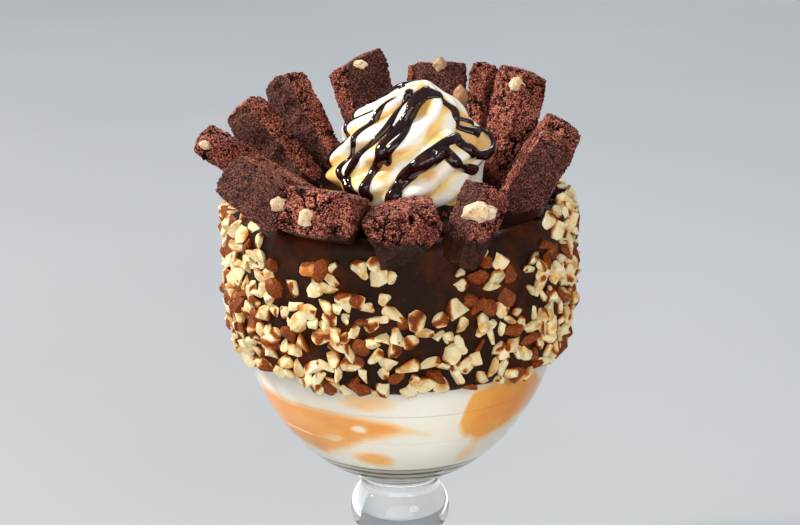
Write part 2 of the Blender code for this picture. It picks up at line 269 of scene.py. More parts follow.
class MaterialNodes(Nodes):
    """The nodes of a new material that ends in one Principled shader."""

    def __init__(self, name, sockets=None):
        self.material = bpy.data.materials.new(name)
        self.material.use_nodes = True
        super().__init__(self.material.node_tree)
        self.shader = self.tree.nodes["Principled BSDF"]
        for socket, value in (sockets or {}).items():
            self.shader.inputs[socket].default_value = value
        self.place = self.add("ShaderNodeTexCoord", output="Object")

    def attribute(self, name):
        return self.add("ShaderNodeAttribute", output="Fac", attribute_name=name)

    def mix(self, factor, first, second):
        """A colour between two, each a Wire or three numbers."""
        colors = [value if isinstance(value, Wire) else (*value, 1) for value in (first, second)]
        inputs = {"Factor": factor, 6: colors[0], 7: colors[1]}
        return self.add("ShaderNodeMix", inputs, 2, data_type="RGBA")

    def drive(self, socket, wire):
        self.tree.links.new(wire.socket, self.shader.inputs[socket])

    def finish(self, color, roughness, height, distance, strength):
        """Gives the shader its varying roughness and relief, and its colour where that varies too."""
        relief = {"Height": height, "Distance": distance, "Strength": strength}
        self.drive("Roughness", roughness)
        self.drive("Normal", self.add("ShaderNodeBump", relief))
        if color:
            self.drive("Base Color", color)
        return self.material

    def let_lamps_through(self, tint):
        """Makes the piece cast a light shadow, as real glass does."""
        shadow = self.add("ShaderNodeLightPath", output="Is Shadow Ray")
        clear = self.add("ShaderNodeBsdfTransparent", {"Color": (*tint, 1)})
        plain = Wire(self, self.shader.outputs[0])
        mixed = self.add("ShaderNodeMixShader", {0: shadow, 1: plain, 2: clear})
        self.tree.links.new(mixed.socket, self.tree.nodes["Material Output"].inputs["Surface"])


class ShapeNodes(Nodes):
    """A Geometry Nodes tree with named inputs, which turns an object into a plain mesh."""

    def __init__(self, name, sizes, **others):
        tree = bpy.data.node_groups.new(name, "GeometryNodeTree")
        sockets = {"Geometry": "Geometry", **{size: "Float" for size in sizes}, **others,
                   "Material": "Material"}
        self.keys = {title: tree.interface.new_socket(title, in_out="INPUT",
                                                      socket_type=f"NodeSocket{kind}").identifier
                     for title, kind in sockets.items()}
        tree.interface.new_socket("Geometry", in_out="OUTPUT", socket_type="NodeSocketGeometry")
        super().__init__(tree)
        self.group_input = tree.nodes.new("NodeGroupInput")

    def input(self, name):
        return Wire(self, self.group_input.outputs[name])

    def attribute(self, name):
        return self.add("GeometryNodeInputNamedAttribute", {"Name": name}, data_type="FLOAT")

    def store(self, geometry, name, value, domain):
        return self.add("GeometryNodeStoreNamedAttribute",
                        {"Geometry": geometry, "Name": name, "Value": value},
                        data_type="FLOAT", domain=domain)

    def move(self, geometry, facing, distance):
        offset = self.scaled(facing, distance)
        return self.add("GeometryNodeSetPosition", {"Geometry": geometry, "Offset": offset})

    def random(self, low, high, seed):
        return self.add("FunctionNodeRandomValue", {2: low, 3: high, "Seed": seed}, 1, data_type="FLOAT")

    def finish(self, geometry):
        """Ends the tree by realizing the instances and setting the material."""
        real = self.add("GeometryNodeRealizeInstances", {"Geometry": geometry})
        done = self.add("GeometryNodeSetMaterial", {"Geometry": real, "Material": self.input("Material")})
        self.add("NodeGroupOutput", {"Geometry": done})
        return self

    def build(self, source, name, **values):
        """The mesh that the tree makes of a source object, as a new object."""
        modifier = source.modifiers.new("shape", "NODES")
        modifier.node_group = self.tree
        for title, value in values.items():
            modifier[self.keys[title.title()]] = value
        mesh = plain_mesh(source)
        source.modifiers.remove(modifier)
        return add_object(name, mesh)


# ---- meshes ----

def plain_mesh(source):
    """A mesh of what an object's modifiers make of it."""
    graph = bpy.context.evaluated_depsgraph_get()
    evaluated = source.evaluated_get(graph)
    return bpy.data.meshes.new_from_object(evaluated, preserve_all_data_layers=True, depsgraph=graph)


def add_object(name, data, material=None):
    """An object of a mesh, a lamp or a camera, in the scene."""
    data.name = name
    if material:
        data.materials.clear()
        data.materials.append(material)
    obj = bpy.data.objects.new(name, data)
    bpy.context.scene.collection.objects.link(obj)
    return obj


def mesh_of(bm, name):
    mesh = bpy.data.meshes.new(name)
    bm.to_mesh(mesh)
    bm.free()
    return mesh


def remove(*objects):
    for obj in objects:
        mesh = obj.data
        bpy.data.objects.remove(obj)
        bpy.data.meshes.remove(mesh)


def remesh(obj, voxel, smoothing):
    """Melts an object's shells into one skin of even cells, and smooths it a number of times."""
    modifier = obj.modifiers.new("skin", "REMESH")
    modifier.mode = "VOXEL"
    modifier.voxel_size = voxel
    smooth = obj.modifiers.new("smooth", "SMOOTH")
    smooth.factor = 0.5
    smooth.iterations = smoothing
    mesh = plain_mesh(obj)
    obj.modifiers.clear()
    obj.data = mesh


def surface_of(obj):
    return BVHTree.FromObject(obj, bpy.context.evaluated_depsgraph_get())


def on_body(obj, slot, *nodes, sharp=False):
    """Makes an object a piece of the sundae that stands for some of its nodes."""
    if not sharp:
        obj.data.shade_smooth()
    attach(obj, BODY)
    if nodes:
        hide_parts(*nodes)


def merge_points(mesh, near):
    """Merges a mesh's points that lie together, and turns its faces outwards."""
    bm = bmesh.new()
    bm.from_mesh(mesh)
    bmesh.ops.remove_doubles(bm, verts=bm.verts, dist=near)
    bmesh.ops.recalc_face_normals(bm, faces=bm.faces)
    bm.to_mesh(mesh)
    bm.free()


def skin(name, rings, material=None, closed_along=False):
    """A skin over rings[around][along] of points. Points that meet on the axis become poles."""
    rings = np.asarray(rings, float)
    around, along = rings.shape[:2]
    numbers = np.arange(around * along).reshape(around, along)
    beyond = np.roll(numbers, -1, axis=0)
    if closed_along:
        numbers, beyond = (np.hstack([grid, grid[:, :1]]) for grid in (numbers, beyond))
    faces = np.stack([numbers[:, :-1], beyond[:, :-1], beyond[:, 1:], numbers[:, 1:]], axis=-1)
    mesh = bpy.data.meshes.new(name)
    mesh.from_pydata(rings.reshape(-1, 3).tolist(), [], faces.reshape(-1, 4).tolist())
    merge_points(mesh, 0.005 * MM)
    return add_object(name, mesh, material)


def turned(name, outline_at, count, material, closed_along=False):
    """A skin round the axis through an outline's radii and heights at each of some angles."""
    rings = [[on_circle(angle, *point) for point in outline_at(angle)] for angle in around(count)]
    return skin(name, rings, material, closed_along)


def points_of(mesh):
    """A mesh's points and which way each faces."""
    points, facing = (np.empty(len(mesh.vertices) * 3) for _ in range(2))
    mesh.vertices.foreach_get("co", points)
    mesh.vertex_normals.foreach_get("vector", facing)
    return points.reshape(-1, 3), facing.reshape(-1, 3)


def write_attribute(mesh, name, values):
    attribute = mesh.attributes.new(name, "FLOAT", "POINT")
    attribute.data.foreach_set("value", np.asarray(values, np.float32))


def around(count):
    return [2 * math.pi * step / count for step in range(count)]


def on_circle(angle, radius, height):
    return radius * math.cos(angle), radius * math.sin(angle), height


def arc(start, end, steps, middle, radii):
    """Points of an ellipse between two angles in degrees, both ends included."""
    angles = [math.radians(start + (end - start) * step / steps) for step in range(steps + 1)]
    return [(middle[0] + radii[0] * math.cos(angle), middle[1] + radii[1] * math.sin(angle))
            for angle in angles]


def smooth_step(low, high, value):
    share = np.clip((value - low) / (high - low), 0, 1)
    return share * share * (3 - 2 * share)


def degrees_from(angle, azimuth):
    """How far an angle in radians is from an azimuth, in degrees."""
    return abs(math.degrees(math.remainder(angle - math.radians(azimuth), 2 * math.pi)))


def wave(place, scale, seed=0.0):
    """Smooth noise from about -1 to 1 at a place in metres, at bumps per metre."""
    return noise.noise(Vector(place) * scale + Vector((seed, seed, seed)))


# ---- glass ----

def bowl_side(look, inset, lowest):
    """The bowl's elliptical side, from an angle below its widest point up to that point."""
    radii = BOWL_RADIUS - inset, look.depth - inset
    return arc(-math.degrees(lowest), 0, 48, (0, look.widest_z), radii)


def bowl_inside(look):
    lowest = math.asin((look.widest_z - look.floor_z) / (look.depth - look.wall))
    return bowl_side(look, look.wall, lowest)


def bowl_outside(look):
    return bowl_side(look, 0, math.acos(1.04 * look.collar_radius / BOWL_RADIUS))


def radius_at(height, curve):
    radii, heights = zip(*curve)
    return float(np.interp(height, heights, radii))


def glass_outline(look):
    """From the middle of the foot, up the outside, over the rim and down the inside."""
    edge = look.foot_edge
    foot_top = look.foot_radius - edge
    foot = [(0, 0)] + arc(-90, 60, 8, (foot_top, edge), (edge, edge))
    flare_size = foot_top - look.neck_radius, look.neck_z - 2 * edge
    flare = arc(270, 180, 24, (foot_top, look.neck_z), flare_size)
    knop_low = -math.degrees(math.acos(look.neck_radius / look.knop_radius))
    knop_high = math.degrees(math.acos(look.collar_radius / look.knop_radius))
    knop = arc(knop_low, knop_high, 32, (0, look.knop_z), (look.knop_radius, look.knop_half))
    lip = look.wall / 2
    rim = arc(0, 180, 12, (BOWL_RADIUS - lip, RIM_Z - lip), (lip, lip))
    inside = bowl_inside(look)[::-1] + [(0, look.floor_z)]
    return foot + flare + knop + [(look.collar_radius, look.collar_top)] + bowl_outside(look) + rim + inside


def glass_material(look):
    """Clear glass with faint ripples and smears."""
    make = MaterialNodes("clear_glass", {
        "Transmission Weight": 1.0, "IOR": 1.5, "Base Color": (*look.tint, 1)})
    make.let_lamps_through((0.94, 0.96, 0.955))
    ripples, smears = make.noise(34, 1.0), make.noise(90, 3.0)
    return make.finish(None, smears.rise(0.62, 0.8) * 0.05, ripples, 0.25 * MM, 0.35)


def make_glass(looks):
    outline = glass_outline(looks.glass)
    glass = turned("footed_glass", lambda _: outline, 160, glass_material(looks.glass))
    on_body(glass, "clear_glass", "glass")


# ---- filling ----

# Where caramel shows on the wall: azimuth in degrees, then its bottom and its top in mm.
CARAMEL_BAND = ((-180, 88, 97), (-158, 82, 107), (-130, 80, 107), (-117, 87, 106), (-105, 93, 105),
                (-92, 95, 103), (-79, 97, 99), (-68, 99, 97), (-60, 93, 116), (-45, 89, 119),
                (-28, 93, 116), (-10, 101, 104), (20, 96, 104), (60, 82, 103), (90, 90, 97),
                (130, 94, 101), (155, 86, 105), (180, 88, 97))
# Smears and gaps in it: azimuth, height and half sizes in degrees and mm, and how strong.
CARAMEL_PATCHES = ((-104, 83, 9, 4, 0.75), (-104, 112, 11, 4, 0.45), (-108, 99, 4, 2.2, -0.9),
                   (-121, 93, 5, 1.6, -0.7), (-52, 84, 6, 5, 0.35), (40, 110, 14, 4, 0.5),
                   (100, 84, 12, 4, 0.6), (150, 112, 12, 4, 0.4))


def caramel_share(place):
    """How much caramel shows at a place on the wall, from 0 to 1."""
    height = place[2] / MM
    drift = 2.2 * wave(place, 60) + 1.1 * wave(place, 160, 5)
    turn = math.degrees(math.atan2(place[1], place[0])) + 5 * wave(place, 45, 9)
    azimuths, bottoms, tops = zip(*CARAMEL_BAND)
    bottom = np.interp(turn, azimuths, bottoms) + drift
    top = np.interp(turn, azimuths, tops) + 0.3 * drift
    share = smooth_step(bottom - 3, bottom + 6, height) * smooth_step(top + 2.5, top - 4, height)
    for patch_azimuth, patch_height, wide, high, strength in CARAMEL_PATCHES:
        away = math.hypot(math.remainder(turn - patch_azimuth, 360) / wide,
                          (height + drift - patch_height) / high)
        share += strength * smooth_step(1.5, 0.4, away)
    return min(max(share, 0), 1)


# The band of painted refraction rings at the filling's foot, standing in for the dark rings that the
# glass's floor shows, lies this high over the bowl's floor. Its dark lines are this close, in radians per
# metre.
PAINTED_RINGS_DEPTH = 11 * MM
PAINTED_RINGS_FREQUENCY = 1900.0


def filling_material(look, floor_z):
    """Vanilla ice cream with caramel run through it, as it lies against the glass, with painted refraction
    rings, dark lines on pale brown, at its foot.
    """
    make = MaterialNodes("vanilla_and_caramel")
    frost, clouds = make.noise(420, 4.0, 0.6), make.noise(55, 3.0)
    white = make.mix(clouds.rise(0.35, 0.7), look.vanilla, (0.93, 0.87, 0.74))
    crumb_with_painted_pits = make.mix(clouds.rise(0.4, 0.62), look.caramel, (0.97, 0.46, 0.07))
    shown = make.attribute("caramel") + (frost - 0.5) * 0.2 + (clouds - 0.5) * 0.5
    pale = make.mix(shown.rise(0.05, 0.5), white, (0.98, 0.66, 0.32))
    height = make.add("ShaderNodeSeparateXYZ", {"Vector": make.place}, "Z")
    wavy = height + (clouds - 0.5) * (2 * MM)
    # Painted refraction rings: dark lines on pale brown, standing in for the glass floor's dark rings.
    lines = ((wavy - floor_z) * PAINTED_RINGS_FREQUENCY).math("SINE").rise(-0.2, 0.5) * 0.86 + 0.12
    painted_rings = make.mix(lines, (0.62, 0.52, 0.36), (0.010, 0.008, 0.006))
    color = make.mix(shown.rise(0.35, 0.95), pale, crumb_with_painted_pits)
    painted_rings_z = floor_z + PAINTED_RINGS_DEPTH
    color = make.mix(wavy.rise(painted_rings_z, painted_rings_z - 0.8 * MM), color, painted_rings)
    return make.finish(color, 0.45 - shown.rise(0, 1) * 0.25, frost, 0.2 * MM, 0.5)


def make_filling(looks):
    """The lower ice cream, the caramel seam and the upper ice cream, against the wall."""
    look = looks.filling
    material = filling_material(look, looks.glass.floor_z)
    inside = bowl_inside(looks.glass)
    bottom_z = inside[0][1] - look.into_wall
    seam_low, seam_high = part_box("caramel_seam")
    low_z, high_z = seam_low.z + 0.4 * (seam_high.z - seam_low.z), seam_high.z

    def layer(name, low, high, steps, slot, node):
        heights = np.linspace(low, high, steps)
        wall = [(radius_at(height, inside) + look.into_wall, height) for height in heights]
        piece = turned(name, lambda _: [(0, low), *wall, (0, high)], 320, material)
        points, _ = points_of(piece.data)
        write_attribute(piece.data, "caramel", [caramel_share(point) for point in points])
        on_body(piece, slot, node)

    layer("lower_ice_cream", bottom_z, low_z, 40, "ice_cream", "ice_cream_lower")
    layer("caramel_layer", low_z, high_z, 60, "caramel", "caramel_seam")
    layer("upper_ice_cream", high_z, look.edge_z, 90, "ice_cream", "ice_cream_upper")


# ---- chocolate coat ----

def coat_low(look, angle):
    """The height of the coat's lower edge, a little higher at the sides than in front."""
    place = on_circle(angle, 0.05, 0)
    ragged = 1.6 * MM * wave(place, 60) + 1.2 * MM * wave(place, 170)
    return look.lower_z + 2 * MM * abs(math.cos(angle)) + ragged


# The lower limit of the bare stretch in front under the fingers: azimuths and heights in mm.
BARE = ((-150, 190), (-143, 186), (-138, 172), (-134, 168), (-120, 168), (-109, 174), (-101, 173),
        (-91, 172), (-87, 149), (-80, 149), (-77, 168), (-75, 171), (-66, 176), (-58, 175),
        (-50, 165), (-42, 173), (-35, 183), (-30, 190))


def on_bowl(angle, height):
    """Where a place on the coat lies in its noise, which doesn't change through the coat."""
    return on_circle(angle, 0.07, height)


def bare_share(angle, height):
    """1 on the bare stretch, 0 where almonds lie thick, and less than 1 just below it."""
    limit = np.interp(math.degrees(angle), *zip(*BARE)) * MM
    ragged = height + 2 * MM * wave(on_bowl(angle, height), 50, 3)
    thin = 0.45 * smooth_step(-20 * MM, -12 * MM, ragged - limit) * (limit < 189 * MM)
    return max(thin, smooth_step(-1 * MM, 2 * MM, ragged - limit))


def coat_section(look, glass, outside, angle):
    """The coat's closed outline at an angle: up its own face, over the rim and down the glass."""
    low, high, gap = coat_low(look, angle), RIM_Z - 1.8 * MM, 0.1 * MM
    heights = np.linspace(low, high, 46)
    inner = [(radius_at(height, outside) + gap, height) for height in heights]
    lip = glass.wall / 2
    middle = BOWL_RADIUS - lip
    inner += arc(20, 170, 5, (middle, RIM_Z - lip), (lip + gap, lip + gap))
    outer = []
    for height in heights:
        place = on_bowl(angle, height)
        drips = 0.5 * MM * wave((place[0], place[1], 0.3 * height), 75, 2)
        front = smooth_step(75, 45, degrees_from(angle, -95)) * smooth_step(158 * MM, 174 * MM, height)
        swelling = 0.5 * MM * wave(place, 55) + 0.18 * MM * wave(place, 240, 4) + drips + look.bulge * front
        full = 0.25 + 0.75 * math.sin(min((height - low) / (4 * MM), 1) * math.pi / 2)
        outer.append((radius_at(height, outside) + (look.thickness + swelling) * full, height))
    crown_z = RIM_Z + look.above_rim + 0.7 * MM * wave(on_bowl(angle, 0), 50, 7)
    crown = arc(8, 172, 11, (middle, high), (outer[-1][0] - middle, crown_z - high))
    wall, hem_z = BOWL_RADIUS - glass.wall, RIM_Z - 6 * MM
    inside = [(wall - 2.2 * MM, hem_z), (wall, hem_z)]
    return outer + crown + inside + inner[::-1]


def chocolate_material(look):
    """Set chocolate: nearly black brown, satin, with a faint bloom and small pits."""
    make = MaterialNodes("set_chocolate", {"Specular IOR Level": 0.09})
    clouds, grain = make.noise(60, 4.0, 0.6), make.noise(900)
    warm = make.mix(clouds.rise(0.45, 0.72), (0.021, 0.0078, 0.0035), look.color)
    color = make.mix(grain.rise(0.66, 0.76) * 0.5, warm, (0.10, 0.042, 0.02))
    return make.finish(color, 0.30 + clouds * 0.3, clouds + grain * 0.25, 0.5 * MM, 0.5)


def make_coat(looks):
    outside = bowl_outside(looks.glass)

    def outline(angle):
        return coat_section(looks.coat, looks.glass, outside, angle)

    coat = turned("chocolate_coat", outline, 360, chocolate_material(looks.coat), closed_along=True)
    on_body(coat, "chocolate", "nut_coat")


def make_pool(looks):
    """Chocolate sauce over the ice cream, from the rosette out to the rim."""
    look = looks.filling
    edge, low_z = BOWL_RADIUS - looks.glass.wall + look.into_wall, look.edge_z - 1 * MM

    def outline(angle):
        top = []
        for step in range(44, -1, -1):
            radius = edge * step / 44
            share = min(radius / INSIDE_RADIUS, 1)
            ice_z = look.edge_z + look.dome * (1 - share * share)
            place = on_circle(angle, radius, 0)
            lift = 1.6 * MM + 1.3 * MM * wave(place, 70) + 0.5 * MM * wave(place, 190, 3)
            climb = 3.5 * MM * smooth_step(edge - 9 * MM, edge, radius)
            top.append((radius, ice_z + lift * (radius > 0) + climb))
        return [(edge * step / 6, low_z) for step in range(7)] + top

    pool = turned("chocolate_pool", outline, 240, chocolate_material(looks.coat))
    pool.data.materials[0].name = "pooled_chocolate"
    on_body(pool, "chocolate")


# ---- almonds ----

def any_way(draw):
    return Vector([draw.gauss(0, 1) for _ in range(3)]).normalized()


def chopped_almond(draw, size, index):
    """A chip off an almond: flat pale cuts and, on one side, its brown skin. Its foot is marked like skin
    too, as painted shade where it sits in the chocolate.
    """
    bm = bmesh.new()
    skin_and_shade_marks = bm.verts.layers.float.new("skin")
    verts = bmesh.ops.create_icosphere(bm, subdivisions=2, radius=1)["verts"]
    cuts = [(any_way(draw), draw.uniform(0.35, 0.7)) for _ in range(6)]
    skin_side = any_way(draw)
    for vert in verts:
        place = Vector([math.copysign(abs(part) ** 0.8, part) for part in vert.co])
        cut_off = False
        for facing, far in cuts:
            over = place.dot(facing) - far
            if over > 0:
                place -= facing * over
                cut_off = True
        vert[skin_and_shade_marks] = 0 if cut_off else float(vert.co.dot(skin_side) > -0.5)
        vert.co = place + Vector(noise.noise_vector(place * 1.3 + Vector((index, 0, 0)))) * 0.13
    stretch = Vector((draw.uniform(0.9, 1.5), draw.uniform(0.75, 1), draw.uniform(0.5, 0.7)))
    for vert in verts:
        vert.co = vert.co * stretch
    centre = sum((vert.co for vert in verts), Vector()) / len(verts)
    span = max((vert.co - centre).length for vert in verts)
    for vert in verts:
        vert.co = (vert.co - centre) * size / 2 / span
        # Painted shade: the foot, which faces the chocolate, is marked like skin and so turns amber and
        # brown.
        vert[skin_and_shade_marks] = max(vert[skin_and_shade_marks], 0.75 * smooth_step(0.2 * MM, -1.6 * MM, vert.co.z))
    mesh = mesh_of(bm, f"chip_{index}")
    mesh.shade_smooth()
    mesh.set_sharp_from_angle(angle=math.radians(36))
    return mesh


def scatter_tree():
    """Puts pieces of a collection on a surface, standing up to a tilt from its normal."""
    sizes = "Spacing", "Density", "Smallest", "Largest", "Tilt", "Lift"
    make = ShapeNodes("scattered_pieces", sizes, Pieces="Collection", Seed="Int")
    tilt, seed = make.input("Tilt"), make.input("Seed")
    spread = make.add("GeometryNodeDistributePointsOnFaces",
                      {"Mesh": make.input("Geometry"), "Distance Min": make.input("Spacing"),
                       "Density Max": make.input("Density"), "Density Factor": make.attribute("cover"),
                       "Seed": seed}, distribute_method="POISSON")
    facing, upright = (Wire(make, spread.socket.node.outputs[name]) for name in ("Normal", "Rotation"))
    spin = make.add("FunctionNodeRandomValue",
                    {0: make.combined(X=0 - tilt, Y=0 - tilt, Z=-math.pi),
                     1: make.combined(X=tilt, Y=tilt, Z=math.pi), "Seed": seed}, data_type="FLOAT_VECTOR")
    angles = make.add("FunctionNodeEulerToRotation", {"Euler": spin})
    rotation = make.add("FunctionNodeRotateRotation", {"Rotation": upright, "Rotate By": angles},
                        rotation_space="LOCAL")
    pieces = make.add("GeometryNodeCollectionInfo", {
        "Collection": make.input("Pieces"), "Separate Children": True, "Reset Children": True})
    placed = make.add("GeometryNodeInstanceOnPoints", {
        "Points": make.move(spread, facing, make.input("Lift")), "Instance": pieces, "Pick Instance": True,
        "Rotation": rotation,
        "Scale": make.random(make.input("Smallest"), make.input("Largest"), seed + 1)})
    return make.finish(make.store(placed, "tone", make.random(0.0, 1.0, seed + 2), "INSTANCE"))


def almond_material(look):
    """Cut almond, cream with a yellow tinge, which turns amber towards its rough brown skin, partly as
    painted shade, and amber and brown at its foot as painted shade.
    """
    make = MaterialNodes("chopped_almond", {"Specular IOR Level": 0.2})
    tone, clouds, fine = make.attribute("tone"), make.noise(240, 3.0), make.noise(1300)
    pale = make.mix(clouds.rise(0.3, 0.7), (0.89, 0.79, 0.50), look.flesh)
    flesh = make.mix((clouds + tone * 0.3).rise(0.62, 0.88) * 0.8, pale, (0.66, 0.30, 0.05))
    bark = make.mix((fine * 0.6 + clouds * 0.4).rise(0.42, 0.76), look.skin, (0.46, 0.11, 0.010))
    # The skin mark also carries each chip's painted foot shade, so amber and brown there are painted shade.
    skin_and_shade = make.attribute("skin") + tone.rise(0.84, 0.9) + (clouds - 0.5) * 0.9
    amber = make.mix(skin_and_shade.rise(0.02, 0.45), flesh, (0.56, 0.17, 0.014))
    color = make.mix(skin_and_shade.rise(0.42, 0.72), amber, bark)
    return make.finish(color, 0.40 + skin_and_shade.rise(0.3, 0.7) * 0.15, clouds + fine * 0.4, 0.4 * MM, 0.7)


def scatter(base, name, meshes, **sizes):
    """Pieces of some kinds all over a base, as thick as its "cover" attribute says."""
    kinds = bpy.data.collections.new("kinds")
    for index, mesh in enumerate(meshes):
        kinds.objects.link(bpy.data.objects.new(f"kind_{index:02d}", mesh))
    pieces = scatter_tree().build(base, name, pieces=kinds, **sizes)
    remove(*kinds.objects)
    bpy.data.collections.remove(kinds)
    return pieces


def make_almonds(looks):
    """Chopped almonds pressed into the chocolate, thick all round but for a bare stretch in front."""
    look = looks.almonds
    coat = bpy.data.objects["chocolate_coat"]
    points, facing = points_of(coat.data)
    outwards = (points[:, :2] * facing[:, :2]).sum(axis=1) / np.hypot(points[:, 0], points[:, 1])
    cover = [(out > 0.1) * (1 - 0.98 * bare_share(math.atan2(point[1], point[0]), point[2]))
             for point, out in zip(points, outwards)]
    write_attribute(coat.data, "cover", cover)
    draw = random.Random(5)
    chips = [chopped_almond(draw, look.size, index) for index in range(look.kinds)]
    almonds = scatter(coat, "chopped_almonds", chips, spacing=look.spacing, density=300000.0, smallest=0.7,
                      largest=1.3, tilt=0.7, lift=0.3 * MM, seed=3, material=almond_material(look))
    on_body(almonds, "nuts", sharp=True)


# ---- brownies ----

FOREMOST = 11

# The smoother dark face of some fingers: which way it looks. It is partly baked crust and partly painted
# shade, as on fingers 2 and 3, darkened where their neighbours shade them.
CRUST_AND_SHADE_FACES = {2: (-0.52, -0.83, -0.18), 3: (-0.69, -0.72, -0.07), 4: (0.44, -0.77, 0.47),
          5: (-0.06, -0.91, 0.41), 6: (0.5, 0.8, 0.3), 8: (0.2, 0.9, 0.4), 9: (-0.14, -0.98, -0.17),
          10: (-0.6, -0.65, 0.46), 13: (-0.43, -0.83, 0.37)}

# Hollows torn in the fingers: where in mm, and radius and depth in mm.
HOLLOWS = {
    1: ((-66, 0, 196, 4, 2),),
    2: ((-62, 21, 213, 4, 2), (-57, 19, 197, 6, 1.8), (-48, 15, 191, 6, 2), (-70, 25, 207, 4, 1.5)),
    3: ((-46, 35, 207, 5, 1.6), (-42, 31, 202, 4.5, 2), (-38, 29, 196, 5, 1.4), (-52, 40, 214, 4, 1.5)),
    4: ((-24, 45, 220, 4, 2), (-17, 40, 205, 5, 2)), 5: ((4, 50, 219, 5, 2),),
    6: ((33, 47, 222, 4, 2.5),), 7: ((50, 22, 207, 3.5, 1.5), (45, 17, 199, 4, 2)),
    9: ((60, -36, 219, 5, 2), (52, -42, 203, 3, 1.2)), 10: ((33, -66, 201, 4, 2),),
    11: ((2, -79, 195, 5, 3), (9, -79, 197, 4, 2.5), (-12, -79, 190, 4, 2)),
    12: ((-23, -75, 197, 5, 2.5), (-42, -70, 187, 4, 1.5)),
    13: ((-40, -46, 198, 6, 3.5), (-53, -66, 190, 4, 1.5))}

# Walnut pieces baked into the fingers: where in mm, half sizes in mm, and how brown.
WALNUTS = (
    ((-79.5, 1.5, 201), (2.4, 2, 1.8), 0.2), ((-16.5, 51, 224), (3.2, 2.3, 2), 0.0),
    ((17, 51.5, 224), (3, 2.5, 3.4), 0.7), ((25.7, 45.5, 210), (3.6, 2.4, 5.4), 0.9),
    ((47, 30, 220), (3.4, 2.6, 3.2), 0.1), ((31, -72.5, 194.5), (6.2, 3.2, 4), 0.0),
    ((-36, -72, 191.4), (2.8, 2, 3.6), 0.0), ((-47, -67.8, 195.3), (3.4, 2, 2.8), 0.35),
    ((-8, 63, 214), (4, 2.6, 3.4), 0.1), ((28, 60, 207), (4.2, 3, 3.4), 0.2),
    ((-61, 42, 204), (3.6, 3, 3), 0.1), ((78, 5, 206), (3, 3.4, 3.6), 0.0))


def crumb_tree():
    """Breaks a smooth finger's skin up into clods, crumbs, grains, cracks and small holes."""
    make = ShapeNodes("torn_crumb", ("Crumb", "Height", "Shift"))
    crumb, height = make.input("Crumb"), make.input("Height")
    make.place = make.sum(make.add("GeometryNodeInputPosition"), make.combined(X=make.input("Shift")))
    warp = make.noise(0.7 / crumb, output="Color")
    bent = make.sum(make.place, make.scaled(warp, crumb * 1.8))
    lumps = make.noise(0.15 / crumb)
    clods = make.cells(0.30 / crumb, "SMOOTH_F1", bent)
    edge = make.cells(0.20 / crumb, "DISTANCE_TO_EDGE", bent)
    cracks = edge.rise(0.10, 0.0) * make.noise(0.1 / crumb, 1.0).rise(0.48, 0.60)
    crumbs = make.cells(1.0 / crumb, place=bent)
    grain = make.noise(1.7 / crumb, 3.0, 0.65)
    holes = make.noise(0.30 / crumb, 2.0, 0.6, place=bent).rise(0.59, 0.69)
    torn = (1 - make.attribute("crust") * 0.7) * (1 - make.attribute("dip") * 0.75)
    relief = (0.5 - crumbs) * 1.3 + (grain - 0.5) * 2.4 - holes * 3.0 - cracks * 3.0
    distance = height * (relief * torn + (0.5 - clods) * 1.6 * torn + (lumps - 0.5) * 2.6)
    moved = make.move(make.input("Geometry"), make.add("GeometryNodeInputNormal"), distance)
    return make.finish(make.store(moved, "relief", relief, "POINT"))


def brownie_material(look):
    """Dark moist crumb, dipped below, with painted shade nearly black in its holes and painted
    reddish-brown highlights where crumbs stand out.
    """
    make = MaterialNodes("brownie_crumb", {"Specular IOR Level": 0.12})
    relief, crust = make.attribute("relief"), make.attribute("crust")
    clouds, grain, specks = make.noise(70, 3.0), make.noise(1500, 2.0, 0.65), make.cells(780)
    body = make.mix(clouds.rise(0.38, 0.62), look.color, (0.046, 0.012, 0.009))
    # Painted highlights where crumbs stand out and would catch the light, and painted shade, nearly black,
    # in the pits.
    lit = (relief * 0.14 + grain + clouds * 0.4).rise(0.62, 0.90)
    crumb_with_painted_glints = make.mix(lit, body, look.painted_glint)
    crumb_with_painted_pits = make.mix((relief * 0.12 + grain).rise(0.34, 0.53), (0.005, 0.0012, 0.0012), crumb_with_painted_glints)
    dipped = make.mix(clouds.rise(0.4, 0.65), (0.018, 0.0075, 0.0045), (0.045, 0.012, 0.005))
    # Painted shade and baked crust: the faces marked as crust are darker.
    crust_and_shade_color = make.mix(grain.rise(0.40, 0.70), (0.020, 0.007, 0.005), (0.20, 0.073, 0.054))
    made = make.mix(crust * 0.85, crumb_with_painted_pits, crust_and_shade_color)
    dip = (make.attribute("dip") + (clouds - 0.5) * 0.8).rise(0.3, 0.7)
    roughness = 0.58 - specks.rise(0.3, 0.1) * 0.25 - dip * 0.15
    rough = (grain + specks * 0.5) * (1 - dip * 0.7)
    return make.finish(make.mix(dip * 0.92, made, dipped), roughness, rough, 0.6 * MM, 0.9)


def smooth_finger(node, voxel):
    """A finger's own shape with even cells and softened edges."""
    obj = add_object(f"{node}_rough", frame["nodes"][node].data.copy())
    merge_points(obj.data, 0.01 * MM)
    remesh(obj, voxel, 1)
    return obj


